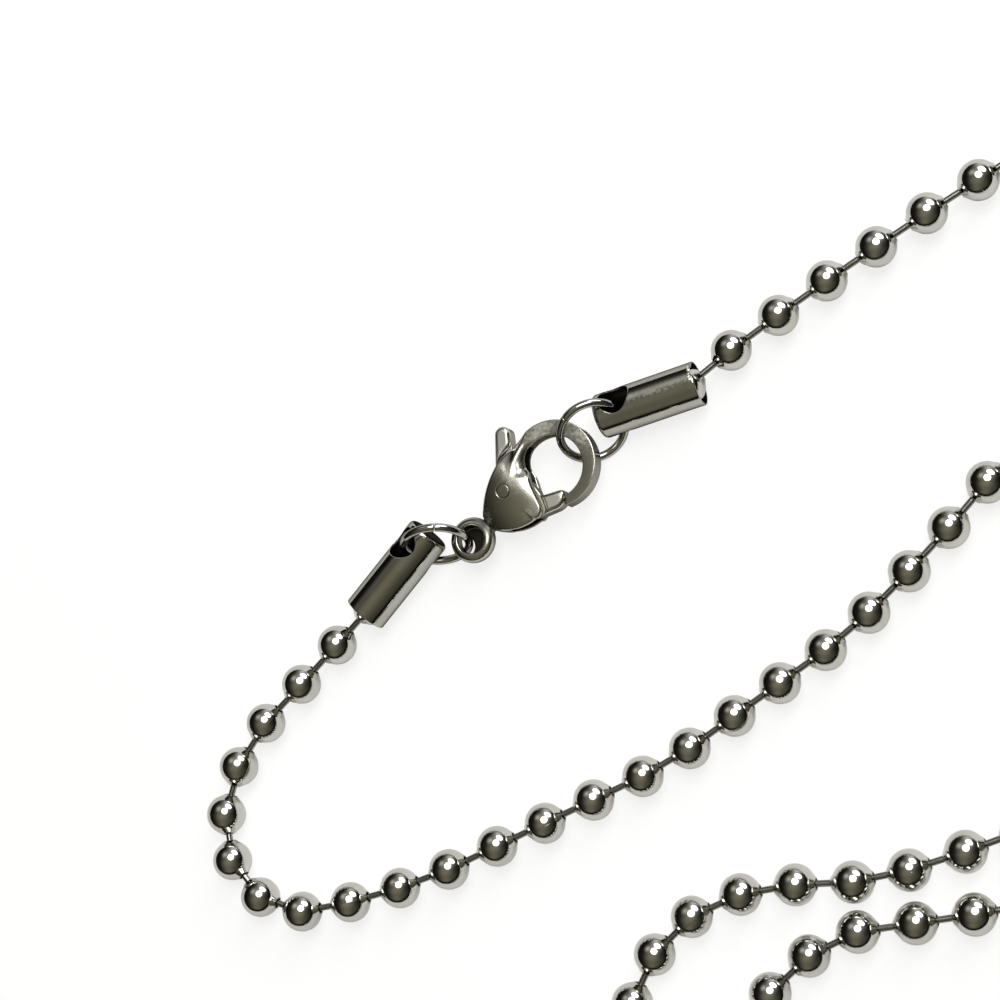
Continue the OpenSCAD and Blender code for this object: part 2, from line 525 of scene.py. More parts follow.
class Plan:
    """Distance from a closed outline in the plan, kept on a fine grid and slightly softened."""

    def __init__(self, outline: Array, margin: float = 1.5, step: float = 0.025, softening: int = 6) -> None:
        """Works out the grid.

        Args:
            outline: Corners of the outline, in order.
            margin: How far the grid reaches past the outline.
            step: Distance between grid points.
            softening: Number of softening passes.
        """
        self.low = outline.min(axis=0) - margin
        self.step = step
        counts = np.ceil((outline.max(axis=0) + margin - self.low) / step).astype(int) + 1
        u = (self.low[0] + step * np.arange(counts[0]))[:, None]
        v = (self.low[1] + step * np.arange(counts[1]))[None, :]
        near = np.full((counts[0], counts[1]), np.inf)
        inside = np.zeros(near.shape, bool)
        for a, b in zip(outline, np.roll(outline, -1, axis=0)):
            near = np.minimum(near, capsule(u, v, a, 0, b, 0))
            if a[1] != b[1]:
                inside ^= ((a[1] > v) != (b[1] > v)) & (u < (b[0] - a[0]) * (v - a[1]) / (b[1] - a[1]) + a[0])
        self.grid = np.where(inside, -near, near)
        for _ in range(softening):
            for axis in (0, 1):
                self.grid = (np.roll(self.grid, 1, axis) + 2 * self.grid + np.roll(self.grid, -1, axis)) / 4

    def __call__(self, u: Array, v: Array) -> Array:
        """Reads the grid between its points.

        Args:
            u: Places along the first axis of the plan.
            v: Places along its second axis.

        Returns:
            The distances there, negative inside the outline.
        """
        i = np.clip((u - self.low[0]) / self.step, 1, self.grid.shape[0] - 3)
        j = np.clip((v - self.low[1]) / self.step, 1, self.grid.shape[1] - 3)
        i0, j0 = i.astype(int), j.astype(int)
        fi, fj = i - i0, j - j0
        g = self.grid
        return ((g[i0, j0] * (1 - fi) + g[i0 + 1, j0] * fi) * (1 - fj)
                + (g[i0, j0 + 1] * (1 - fi) + g[i0 + 1, j0 + 1] * fi) * fj)


def slope(form: Form, points: Array, reach: float = 0.004) -> tuple[Array, Array]:
    """Feels for the slope of a form.

    Args:
        form: Distance from the form.
        points: One row for each point.
        reach: How far to each side of a point it is felt for.

    Returns:
        The form's value and its gradient at each point.
    """
    value = form(*points.T)
    gradient = np.stack([(form(*(points + reach * axis).T) - form(*(points - reach * axis).T)) / (2 * reach)
                         for axis in np.eye(3)], axis=1)
    return value, gradient


@dataclass(frozen=True)
class Space:
    """Space that a form is looked for in.

    Attributes:
        low: Its lowest corner, in the form's own axes.
        high: Its highest corner.
        step: Spacing of the skin's corners along each axis.
    """

    low: tuple[float, float, float]
    high: tuple[float, float, float]
    step: tuple[float, float, float]


def wrap(form: Form, space: Space, rounds: int = 3, flattest: float = 0.2) -> Skin:
    """Wraps a closed skin of four-sided faces round a form, and settles its corners on the form.

    Args:
        form: Distance from the form, negative inside.
        space: The space that holds it.
        rounds: How often the corners are settled.
        flattest: Least square of the form's gradient that a corner's step is worked out with.

    Returns:
        The skin in the form's own axes.
    """
    # Cells of the grid through which the surface passes hold one corner each
    axes = [np.arange(a, b + s, s) for a, b, s in zip(space.low, space.high, space.step)]
    value = form(*np.ix_(*axes))
    inside = value < 0
    filled = sum(inside[tuple(slice(o, n - 1 + o) for o, n in zip(offset, inside.shape))].astype(int)
                 for offset in np.ndindex(2, 2, 2))
    mixed = (filled > 0) & (filled < 8)
    number = np.full(mixed.shape, -1)
    number[mixed] = np.arange(mixed.sum())
    cells = np.argwhere(mixed)
    # A corner starts amid the crossings of its cell's edges, and each crossed edge makes a face
    total, hits = np.zeros(cells.shape), np.zeros(len(cells))
    quads = []
    for axis in range(3):
        b, c = (axis + 1) % 3, (axis + 2) % 3
        for ob, oc in np.ndindex(2, 2):
            start = cells.copy()
            start[:, b] += ob
            start[:, c] += oc
            end = start.copy()
            end[:, axis] += 1
            v0, v1 = value[tuple(start.T)], value[tuple(end.T)]
            crossed = (v0 < 0) != (v1 < 0)
            at = start.astype(float)
            at[:, axis] += v0 / np.where(crossed, v0 - v1, 1)
            total += np.where(crossed[:, None], at, 0)
            hits += crossed
        edges = inside.shape[axis] - 1
        lower, upper = inside.take(range(edges), axis), inside.take(range(1, edges + 1), axis)
        edge = np.argwhere(lower != upper)
        corners = []
        for ob, oc in ((1, 1), (0, 1), (0, 0), (1, 0)):
            cell = edge.copy()
            cell[:, b] -= ob
            cell[:, c] -= oc
            corners.append(number[tuple(cell.T)])
        quad = np.stack(corners, axis=1)
        leaves = lower[tuple(edge.T)]
        quad[~leaves] = quad[~leaves, ::-1]
        quads.append(quad)
    # Then the corners move onto the form itself
    points = np.array(space.low) + total / hits[:, None] * np.array(space.step)
    farthest = min(space.step)
    for _ in range(rounds):
        distance, gradient = slope(form, points)
        square = np.maximum((gradient**2).sum(axis=1), flattest)
        points = points - np.clip((distance / square)[:, None] * gradient, -farthest, farthest)
    _, gradient = slope(form, points)
    normals = gradient / np.maximum(np.linalg.norm(gradient, axis=1, keepdims=True), NO_LENGTH)
    return Skin(points, np.vstack(quads).tolist(), points.copy(), normals)


def smooth_run(knots: Sequence[Sequence[float]], steps: int) -> Array:
    """Draws a smooth line through points of the plan.

    Args:
        knots: The points.
        steps: Number of steps between each two.

    Returns:
        One row for each point of the line.
    """
    p = np.array(knots, float)
    p = np.vstack([2 * p[0] - p[1], p, 2 * p[-1] - p[-2]])
    t = np.linspace(0, 1, steps, endpoint=False)[:, None]
    runs = [0.5 * (2 * b + (c - a) * t + (2 * a - 5 * b + 4 * c - d) * t**2 + (3 * b - a - 3 * c + d) * t**3)
            for a, b, c, d in zip(p, p[1:], p[2:], p[3:])]
    return np.vstack([*runs, p[-2:-1]])


class Round(NamedTuple):
    """Round stretch of an outline: middle, radius, angles of its ends in degrees, and number of steps."""

    centre: tuple[float, float]
    radius: float
    start: float
    end: float
    steps: int


@dataclass
class Clasp:
    """Lobster clasp: cast body with base ring, bulb and hook, sprung lever, and rivet pin.

    The plan has u along the clasp's length from the middle of its base ring, and v to the left. Heights are
    from its middle plane. An edge or a blend is the width over which a corner is rounded or filled. A pair of
    numbers for fade says where an effect starts and where it is full.
    """

    # Base ring, whose bore narrows to a lip below, on the side away from its jump ring; bore and lip are
    # painted dark as shade
    base_r: float = 1.38
    base_eye_r: float = 0.83
    base_h: float = 1.0
    base_edge: float = 0.42
    bore_upper_edge: float = 0.12
    bore_lower_edge: float = 0.3
    base_blend: float = 0.2
    lip_centre: tuple[float, float] = (-0.7, 0.14)
    lip_r: float = 0.61
    lip_z: float = -0.34
    lip_h: float = 0.24
    lip_edge: float = 0.08
    lip_bite: float = 0.1

    # Hook, which widens where it leaves the bulb
    hook_centre: tuple[float, float] = (6.82, -0.13)
    hook_r: float = 2.66
    eye_centre: tuple[float, float] = (6.65, -0.22)
    eye_r: float = 1.93
    hook_h: float = 1.4
    hook_crown: float = 0.01
    hook_half_w: float = 0.36
    lower_edge: float = 0.32
    upper_edge: float = 0.06
    tip_edge: float = 0.12
    root_u: tuple[float, float] = (6.9, 5.9)
    root_v: tuple[float, float] = (0.0, 0.5)
    root_edge: float = 0.4
    hook_blend: float = 0.15
    root_blend: float = 0.12

    # Bulb, a domed drop whose long edge falls softly toward the eye
    belly: Round = Round((4.1, 1.28), 3.22, 208, 266, 40)
    heel: Round = Round((4, -1.3), 0.72, 270, 350, 20)
    eye_side: tuple[tuple[float, float], ...] = (
        (5.02, -0.35), (5.26, 0.26), (5.49, 0.72), (5.85, 1.3), (6.3, 1.75), (6.5, 2.23),
    )
    eye_side_steps: int = 6
    flank: Round = Round((6.8, -5.62), 8.2, 92, 131, 40)
    bulb_h: float = 2.3
    dome_r: float = 5.5
    crown: tuple[float, float] = (4.0, 1.0)
    crown_stretch: float = 1.32
    bulb_edge: float = 0.2
    eye_side_edge: float = 1.2
    eye_side_from: tuple[float, float] = (1.4, 0.6)
    eye_side_v: tuple[float, float] = (0.1, 1.0)
    run_out_u: float = 3.9
    run_out_blend: float = 0.3

    # Slot for the lever, with a groove that goes on round the bulb, and the opening at the hook's tip
    slot_h: float = 0.9
    slot_outline: tuple[tuple[float, float], ...] = (
        (2.25, -3.2), (2.25, 3.4), (6.2, 3.4), (4.95, 1.35), (5.3, 0.8), (5.8, 0.6), (5.6, -3.2),
    )
    slot_edge: float = 0.08
    groove_depth: float = 0.3
    groove_from_eye: float = 0.9
    groove_v: float = 1.2
    groove_half_w: float = 0.8
    opening_inside: tuple[tuple[float, float], ...] = ((5.4, 1.1), (4.1, -2.3), (4.1, -3.2))
    tip_from: float = -62.0
    tip_to: float = -30.0
    tip_steps: int = 24
    opening_softening: int = 2
    seat_gap: float = 0.12

    # Pin and its hole
    pivot: tuple[float, float] = (3.5, 0.63)
    pin_r: float = 0.4
    pin_play: float = 0.01
    hole_edge: float = 0.06
    pin_edge: float = 0.05

    # Lever
    lever_h: float = 0.8
    lever_end_h: float = 1.3
    lever_bore_r: float = 0.43
    lever_gap: float = 0.1
    lever_edge: float = 0.3
    core_edge: float = 0.05
    hub_r: float = 0.95
    hub_blend: float = 0.1
    tab_root_r: float = 0.65
    tab_end: tuple[float, float] = (5.56, 3.47)
    tab_r: float = 0.5
    shoulder: tuple[float, float] = (4.62, 0.25)
    shoulder_r: float = 0.42
    elbow: tuple[float, float] = (4.4, -1.4)
    elbow_r: float = 0.6
    arm_end: tuple[float, float] = (5.55, -1.9)
    arm_r: float = 0.52
    arm_end_edge: float = 0.45
    arm_excess: float = 0.3

    # Where shade is painted dark on the steel, and where the polish is worn
    bore_painted_shade: tuple[float, float] = (0.01, 0.1)
    slot_painted_shade_in: tuple[float, float] = (0.1, 0.2)
    slot_painted_shade_rim: float = 0.06
    lever_wear: float = 0.6
    lever_flat: tuple[float, float] = (0.85, 0.98)
    worn_places: tuple[Spot, ...] = (
        Spot((7.4, 1.9, 0.7), (1.1, 0.6, 0.5)),
        Spot((9.0, 0.3, 0.7), (0.7, 1.2, 0.5), 0.7),
        Spot((4.25, 1.25, 1.1), (0.3, 0.8, 0.5), 0.5),
        Spot((3.6, -1.5, 1.0), (0.6, 0.4, 0.5), 0.5),
    )
    painted_shade_places: tuple[Spot, ...] = (
        Spot((1.15, 0.1, 0.4), (0.34, 0.8, 1.0), 0.95),
        Spot((1.6, 0.3, 0.7), (0.3, 0.35, 0.5), 0.85),
    )

    # Spaces that the three pieces are looked for in
    body_space: Space = Space((-1.5, -3, -1.3), (9.7, 2.8, 1.3), (0.045,) * 3)
    lever_space: Space = Space((2.4, -2.7, -0.8), (6.5, 4.2, 0.8), (0.045,) * 3)
    pin_space: Space = Space((3, 0.1, -1.25), (4, 1.15, 1.25), (0.02,) * 3)

    def __post_init__(self) -> None:
        """Works out the outlines that the body and the lever share."""
        self.arm_reach = math.dist(self.arm_end, self.pivot) + self.arm_r
        tip = Round(self.pivot, self.arm_reach + self.seat_gap, self.tip_from, self.tip_to, self.tip_steps)
        eye_side = smooth_run(self.eye_side, self.eye_side_steps)
        self.bulb_plan = Plan(np.vstack([arc(*self.belly), arc(*self.heel), eye_side, arc(*self.flank)]))
        self.slot_plan = Plan(np.array(self.slot_outline))
        opening = np.vstack([self.opening_inside, arc(*tip)])
        self.opening_plan = Plan(opening, softening=self.opening_softening)

    def bulb_form(self, u: Array, v: Array, z: Array) -> Array:
        """Distance from the bulb, which runs out in the hook's flat faces.

        Args:
            u: Places along the clasp.
            v: Places to its left.
            z: Heights from its middle plane.

        Returns:
            The distances, negative inside.
        """
        toward_eye = (fade(disc(u, v, self.eye_centre, self.eye_r), *self.eye_side_from)
                      * fade(v, *self.eye_side_v))
        run_out = np.maximum(np.abs(z) - self.hook_h / 2, self.run_out_u - u)
        return soft_max(self.bulb_plan(u, v), soft_min(self.dome(u, v, z), run_out, self.run_out_blend),
                        self.bulb_edge + (self.eye_side_edge - self.bulb_edge) * toward_eye)

    def hook_form(self, u: Array, v: Array, z: Array, toward_root: Array) -> Array:
        """Distance from the hook, whose upper edge is wider toward its root.

        Args:
            u: Places along the clasp.
            v: Places to its left.
            z: Heights from its middle plane.
            toward_root: How near each place is to the root, from 0 to 1.

        Returns:
            The distances, negative inside.
        """
        ring = np.maximum(disc(u, v, self.hook_centre, self.hook_r), -disc(u, v, self.eye_centre, self.eye_r))
        half = self.hook_h / 2 - self.hook_crown * np.clip(1 + ring / self.hook_half_w, 0, 1)**2
        edge = np.where(z > 0, self.upper_edge + self.root_edge * toward_root, self.lower_edge)
        return plate(soft_max(ring, -self.opening_plan(u, v), self.tip_edge), z, half, edge)

    def base_form(self, u: Array, v: Array, z: Array) -> Array:
        """Distance from the base ring with its lip.

        Args:
            u: Places along the clasp.
            v: Places to its left.
            z: Heights from its middle plane.

        Returns:
            The distances, negative inside.
        """
        from_middle = np.hypot(u, v)
        bore_edge = np.where(z > 0, self.bore_upper_edge, self.bore_lower_edge)
        ring = np.maximum(plate(from_middle - self.base_r, z, self.base_h / 2, self.base_edge),
                          plate(self.base_eye_r - from_middle, z, self.base_h / 2, bore_edge))
        lip = plate(-disc(u, v, self.lip_centre, self.lip_r), z - self.lip_z, self.lip_h / 2, self.lip_edge)
        return soft_min(ring, np.maximum(lip, from_middle - self.base_eye_r - self.lip_bite), self.lip_bite)

    def body_form(self, u: Array, v: Array, z: Array) -> Array:
        """Distance from the cast body.

        Args:
            u: Places along the clasp.
            v: Places to its left.
            z: Heights from its middle plane.

        Returns:
            The distances, negative inside.
        """
        toward_root = fade(u, *self.root_u) * fade(v, *self.root_v)
        body = soft_min(self.bulb_form(u, v, z), self.hook_form(u, v, z, toward_root),
                        self.hook_blend + self.root_blend * toward_root)
        body = soft_min(body, self.base_form(u, v, z), self.base_blend)
        between_plates = np.abs(z) - self.slot_h / 2
        slot = np.maximum(self.slot_plan(u, v), between_plates)
        from_floor = -self.bulb_plan(u, v) - self.groove_depth
        from_eye = disc(u, v, self.eye_centre, self.eye_r) - self.groove_from_eye
        across = np.abs(v - self.groove_v) - self.groove_half_w
        groove = np.maximum(np.maximum(from_floor, from_eye), np.maximum(across, between_plates))
        for cut in (slot, groove):
            body = soft_max(body, -cut, self.slot_edge)
        return soft_max(body, -disc(u, v, self.pivot, self.pin_r + self.pin_play), self.hole_edge)

    def dome(self, u: Array, v: Array, z: Array) -> Array:
        """Distance from the bulb's two domed faces.

        Args:
            u: Places along the clasp.
            v: Places to its left.
            z: Heights from its middle plane.

        Returns:
            The distances, negative inside.
        """
        cu, cv = self.crown
        rise = self.dome_r - self.bulb_h / 2
        return np.sqrt((u - cu)**2 + ((v - cv) / self.crown_stretch)**2 + (np.abs(z) + rise)**2) - self.dome_r

    def lever_form(self, u: Array, v: Array, z: Array) -> Array:
        """Distance from the lever.

        Args:
            u: Places along the clasp.
            v: Places to its left.
            z: Heights from its middle plane.

        Returns:
            The distances, negative inside.
        """
        tab = capsule(u, v, self.pivot, self.tab_root_r, self.tab_end, self.tab_r)
        past_end = np.add(self.arm_end, np.subtract(self.arm_end, self.elbow) * self.arm_excess)
        arm = capsule(u, v, self.elbow, self.elbow_r, past_end, self.arm_r)
        arm = soft_max(arm, disc(u, v, self.pivot, self.arm_reach), self.arm_end_edge)
        joints = ((self.pivot, self.hub_r), (self.shoulder, self.shoulder_r), (self.elbow, self.elbow_r))
        hub = np.minimum(capsule(u, v, *joints[0], *joints[1]), capsule(u, v, *joints[1], *joints[2]))
        hub = np.minimum(hub, capsule(u, v, *joints[2], *joints[0]))
        plan = soft_min(np.minimum(tab, arm), hub, self.hub_blend)
        core = plate(plan, z, self.lever_h / 2, self.core_edge)
        clear = self.lever_gap - self.bulb_plan(u, v)
        ends = plate(soft_max(plan, clear, self.hub_blend), z, self.lever_end_h / 2, self.lever_edge)
        lever = np.minimum(core, ends)
        return soft_max(lever, -disc(u, v, self.pivot, self.lever_bore_r), self.core_edge)

    def pin_form(self, u: Array, v: Array, z: Array) -> Array:
        """Distance from the rivet pin, whose ends follow the dome."""
        return soft_max(disc(u, v, self.pivot, self.pin_r), self.dome(u, v, z), self.pin_edge)

    def painted_shade(self, points: Array) -> Array:
        """Works out the shade painted dark on the casting in its bore, slot and neck.

        Args:
            points: One row for each point, in the clasp's own axes.

        Returns:
            The grime at each point, from 0 to 1.
        """
        u, v, z = points.T
        bore = fade(self.base_eye_r - np.hypot(u, v), *self.bore_painted_shade)
        slot = (fade(-self.bulb_plan(u, v), *self.slot_painted_shade_in)
                * fade(np.abs(z), self.slot_h / 2 + self.slot_painted_shade_rim, self.slot_h / 2))
        return np.maximum(np.maximum(bore, slot), strongest(self.painted_shade_places, points))

    def build(self, material: bpy.types.Material, satin: bpy.types.Material) -> None:
        """Builds the three pieces of the clasp.

        Args:
            material: The polished finish of the body and the pin.
            satin: The lever's finish.
        """
        for name, node, body, form, space, finish in (
            ("clasp_casting", "clasp_body", Body.NECKLACE, self.body_form, self.body_space, material),
            ("thumb_lever", "clasp_lever", Body.LEVER, self.lever_form, self.lever_space, satin),
            ("rivet_pin", "clasp_pin", Body.NECKLACE, self.pin_form, self.pin_space, material),
        ):
            skin = wrap(form, space)
            wear = strongest(self.worn_places, skin.place)
            if body is Body.LEVER:
                faces_up = fade(np.abs(skin.normals[:, 2]), *self.lever_flat)
                wear = np.maximum(wear, self.lever_wear * faces_up)
            skin.marks = {"wear": wear, "painted_shade": self.painted_shade(skin.place)}
            skin.points = LAYOUT.on_clasp(skin.points)
            skin.normals = turned(skin.normals, LAYOUT.clasp_turn)
            add_piece(name, node, body, Steel.CLASP, skin, finish)


@dataclass
class EndCap:
    """Drawn cup that lies on its side, open toward the chain, with a cross hole near its closed end.

    Attributes:
        side: Which half of the chain it holds.
        ball: Middle of the ball that it holds, from the clasp's base ring.
        depth: How deep that ball sits inside the open end.
        axis: Way from the closed end to the open end, in degrees.
        leave: Way on which the chain leaves, in degrees.
        lean: How far the top of the cross hole leans to the cap's left, in degrees.
        bevel: Width of the ragged bevel on a part of the rim.
        bevel_at: Angle of that part from the top, to the cap's left, in degrees.
        bevel_ends: Cosines of the angles to that part at which the bevel starts and is full.
        bevel_edge: Width over which its corners are rounded.
        ragged: How uneven the bevel's width is.
        ragged_waves: Numbers of its waves to the left and up, for each of two waves.
        cross_r: Radius of the cross hole.
        radius: Outer radius.
        inner_r: Inner radius.
        length: Length of the cup.
        floor: Thickness of the closed end.
        cross_at: Distance from the closed end to the middle of the cross hole.
        closed_edge: Radius of the edge at the closed end.
        open_edge: Radius of the outer edge at the open end.
        mouth_edge: Width over which the inner edge is rounded.
        cross_edge: Width over which the edge of the cross hole is rounded.
        margin: How far the space that the cap is looked for in reaches past it.
        step: Spacing of the skin's corners along the cap and across it.
        painted_shade_from: Distances outside the inner radius at which the shade painted inside the cup starts
            and is full.
        worn_places: Where the polish is worn.
    """

    side: Side
    ball: tuple[float, float]
    depth: float
    axis: float
    leave: float
    lean: float
    bevel: float = 0.0
    bevel_at: float = 26.0
    bevel_ends: tuple[float, float] = (0.82, 0.93)
    bevel_edge: float = 0.02
    ragged: float = 0.3
    ragged_waves: tuple[tuple[float, float], tuple[float, float]] = ((19, 7), (-13, 31))
    cross_r: float = 1.0
    radius: float = 1.35
    inner_r: float = 1.22
    length: float = 6.42
    floor: float = 0.26
    cross_at: float = 1.4
    closed_edge: float = 0.3
    open_edge: float = 0.06
    mouth_edge: float = 0.05
    cross_edge: float = 0.07
    margin: float = 0.1
    step: tuple[float, float, float] = (0.05, 0.036, 0.036)
    painted_shade_from: tuple[float, float] = (0.05, 0.01)
    worn_places: tuple[Spot, ...] = (Spot((4.4, 0.17, 1.34), (3.2, 0.4, 0.5), 0.55),)

    def ball_at(self) -> Array:
        """Middle of the ball that the cap holds."""
        return LAYOUT.from_clasp(*self.ball, self.radius)

    def form(self, x: Array, y: Array, z: Array) -> Array:
        """Distance from the cap.

        Args:
            x: Places along it from the closed end.
            y: Places to its left.
            z: Heights from its axis.

        Returns:
            The distances, negative inside.
        """
        r = np.hypot(y, z)
        outside = plate(r - self.radius, x - self.length / 2, self.length / 2,
                        np.where(x < self.length / 2, self.closed_edge, self.open_edge))
        a = math.radians(self.bevel_at)
        facing = (y * math.sin(a) + z * math.cos(a)) / self.radius
        long_wave, short_wave = (np.sin(left * y + up * z) for left, up in self.ragged_waves)
        width = self.bevel * (1 + self.ragged * long_wave * short_wave) * fade(facing, *self.bevel_ends)
        from_bevel = (x - self.length + r - self.radius + width) / math.sqrt(2)
        outside = soft_max(outside, from_bevel, self.bevel_edge)
        inside = np.maximum(r - self.inner_r, self.floor - x)
        lean = math.radians(self.lean)
        cross = np.hypot(x - self.cross_at, y * math.cos(lean) - z * math.sin(lean)) - self.cross_r
        return soft_max(soft_max(outside, -inside, self.mouth_edge), -cross, self.cross_edge)

    def build(self, material: bpy.types.Material) -> None:
        """Builds the cap.

        Args:
            material: The cap's finish.
        """
        reach, end = self.radius + self.margin, self.length + self.margin
        skin = wrap(self.form, Space((-self.margin, -reach, -reach), (end, reach, reach), self.step))
        way = polar(self.depth - self.length, self.axis)
        skin.points = turned(skin.points, self.axis) + self.ball_at() + [*way, 0]
        skin.normals = turned(skin.normals, self.axis)
        from_inside = np.hypot(skin.place[:, 1], skin.place[:, 2]) - self.inner_r
        # The inside of the cup is painted dark, as shade
        skin.marks = {"wear": strongest(self.worn_places, skin.place),
                      "painted_shade": fade(from_inside, *self.painted_shade_from)}
        name = self.side.value
        add_piece(f"cap_shell_{name}", f"end_cap_{name}", Body.NECKLACE, Steel.CAP, skin, material)


@dataclass
class JumpRing:
    """Round wire ring, bent from a piece of wire whose ends meet in a fine butt joint.

    Attributes:
        side: Which end of the clasp it holds.
        centre: Its middle, from the clasp's base ring and over the surface.
        tilt: How far its plane leans from level, in degrees.
        toward: Way in which its axis leans, in degrees.
        joint_at: Angle of the butt joint round the ring, in degrees.
        radius: Distance from the ring's middle to the middle of its wire.
        wire_r: Radius of the wire.
        joint_gap: Gap between the wire's ends.
        joint_edge: Size of the rounded edge of each end.
        joint_round: Part of that edge at which its middle corners lie.
        steps: Number of steps round the ring.
        sides: Number of corners round the wire.
    """

    side: Side
    centre: tuple[float, float, float]
    tilt: float
    toward: float
    joint_at: float
    radius: float = 1.975
    wire_r: float = 0.25
    joint_gap: float = 0.035
    joint_edge: float = 0.04
    joint_round: float = 0.3
    steps: int = 180
    sides: int = 28

    def skin(self) -> Skin:
        """Sweeps the wire from one end of the joint to the other.

        Returns:
            The closed skin.
        """
        gap, edge = self.joint_gap / self.radius, self.joint_edge / self.radius
        ends = [gap / 2, gap / 2 + edge * self.joint_round, gap / 2 + edge]
        middle = np.linspace(ends[2], 2 * math.pi - ends[2], self.steps)[1:-1]
        angles = np.concatenate([ends, middle, [2 * math.pi - e for e in reversed(ends)]])
        shrink = np.ones(len(angles))
        shrink[[0, -1]] = 1 - self.joint_edge / self.wire_r
        shrink[[1, -2]] = 1 - self.joint_round * self.joint_edge / self.wire_r
        around = np.linspace(0, 2 * math.pi, self.sides, endpoint=False)
        turn = angles[:, None] + math.radians(self.joint_at)
        wire = self.wire_r * shrink[:, None]
        out = self.radius + wire * np.cos(around)
        rings = np.stack([out * np.cos(turn), out * np.sin(turn), wire * np.sin(around)], axis=2)
        own = np.stack([self.radius * angles[:, None] + 0 * around, wire * np.cos(around),
                        wire * np.sin(around)], axis=2)
        tilted = rings.reshape(-1, 3) @ np.array(Matrix.Rotation(math.radians(self.tilt), 3, "Y")).T
        return Skin(turned(tilted, self.toward) + LAYOUT.from_clasp(*self.centre),
                    tube_faces(len(angles), self.sides, left_handed=True), own.reshape(-1, 3))

    def build(self, material: bpy.types.Material) -> None:
        """Builds the ring and puts it in the place of its node."""
        name = self.side.value
        add_piece(f"wire_ring_{name}", f"jump_ring_{name}", Body.NECKLACE, Steel.WIRE, self.skin(), material)


class MixSocket(IntEnum):
    """Numbers of the sockets of a node that mixes colours."""

    FACTOR = 0
    A = 6
    B = 7
    RESULT = 2


class Nodes:
    """Short way to add nodes to a tree and to join them."""

    def __init__(self, tree: bpy.types.NodeTree) -> None:
        """Starts from an empty tree."""
        self.tree = tree
        tree.nodes.clear()

    def add(self, kind: str, inputs: dict | None = None, **settings: object) -> bpy.types.Node:
        """Adds a node.

        Args:
            kind: The node's type.
            inputs: What goes into its sockets, by name or number: a socket or a plain value.
            settings: Its other settings.

        Returns:
            The node.
        """
        node = self.tree.nodes.new(kind)
        for key, value in settings.items():
            setattr(node, key, value)
        for key, value in (inputs or {}).items():
            if isinstance(value, bpy.types.NodeSocket):
                self.tree.links.new(value, node.inputs[key])
            else:
                node.inputs[key].default_value = value
        return node

    def math(self, operation: str, *values: object) -> bpy.types.NodeSocket:
        """Adds a math node and gives its result."""
        return self.add("ShaderNodeMath", dict(enumerate(values)), operation=operation).outputs[0]

    def attribute(self, name: str, output: str = "Fac") -> bpy.types.NodeSocket:
        """Reads numbers that the mesh keeps for each corner."""
        return self.add("ShaderNodeAttribute", attribute_name=name).outputs[output]

    def effect(self, group: bpy.types.NodeTree, **inputs: object) -> bpy.types.bpy_prop_collection:
        """Places an effect group with its own values, and gives its outputs."""
        return self.add("ShaderNodeGroup", inputs, node_tree=group).outputs

    def scaled(self, vector: bpy.types.NodeSocket, scale: object) -> bpy.types.NodeSocket:
        """Multiplies a vector by a number."""
        return self.add("ShaderNodeVectorMath", {0: vector, "Scale": scale}, operation="SCALE").outputs[0]

    def fade(self, value: bpy.types.NodeSocket, start: float, end: float) -> bpy.types.NodeSocket:
        """Rises smoothly from 0 at one value to 1 at another."""
        return self.add("ShaderNodeMapRange", {"Value": value, "From Min": start, "From Max": end},
                        interpolation_type="SMOOTHSTEP").outputs["Result"]

    def noise(self, vector: bpy.types.NodeSocket, scale: float, detail: float = 2.0) -> bpy.types.NodeSocket:
        """Adds a noise texture and gives its value."""
        inputs = {"Vector": vector, "Scale": scale, "Detail": detail}
        return self.add("ShaderNodeTexNoise", inputs).outputs["Fac"]

    def stretched(self, vector: bpy.types.NodeSocket, scale: Sequence[float],
                  turn: Sequence[float] = (0, 0, 0)) -> bpy.types.NodeSocket:
        """Turns a vector, given in degrees, and scales it along each axis."""
        return self.add("ShaderNodeMapping", {"Vector": vector, "Scale": scale,
                                              "Rotation": [math.radians(a) for a in turn]}).outputs["Vector"]

    def mix(self, factor: bpy.types.NodeSocket, a: object, b: object,
            blend: str = "MIX") -> bpy.types.NodeSocket:
        """Mixes two colours, each a socket or four numbers."""
        inputs = {MixSocket.FACTOR: factor, MixSocket.A: a, MixSocket.B: b}
        return self.add("ShaderNodeMix", inputs, data_type="RGBA", blend_type=blend).outputs[MixSocket.RESULT]


class EffectGroup:
    """A shader node group that is built once and placed in several materials."""

    def __init__(self, name: str, inputs: dict[str, str], outputs: Sequence[str]) -> None:
        """Makes the group with its named sockets.

        Args:
            name: The group's name.
            inputs: Type of each input socket, by name.
            outputs: Names of its value outputs.
        """
        self.tree = bpy.data.node_groups.new(name, "ShaderNodeTree")
        self.nodes = Nodes(self.tree)
        for socket, kind in inputs.items():
            self.tree.interface.new_socket(name=socket, in_out="INPUT", socket_type=kind)
        for socket in outputs:
            self.tree.interface.new_socket(name=socket, in_out="OUTPUT", socket_type="NodeSocketFloat")
        self.inputs = self.nodes.add("NodeGroupInput").outputs

    def finish(self, **results: bpy.types.NodeSocket) -> bpy.types.NodeTree:
        """Joins the group's outputs to its results."""
        self.nodes.add("NodeGroupOutput", results)
        return self.tree


class ScratchWay(NamedTuple):
    """Scratches that run one way: how that way is turned, in degrees, and how thin they are."""

    turn: tuple[float, float, float]
    thinness: float


SCRATCH_WAYS = (
    ScratchWay((20, 35, 15), 9.0),
    ScratchWay((-40, 10, 100), 13.0),
    ScratchWay((65, -30, 160), 11.0),
)


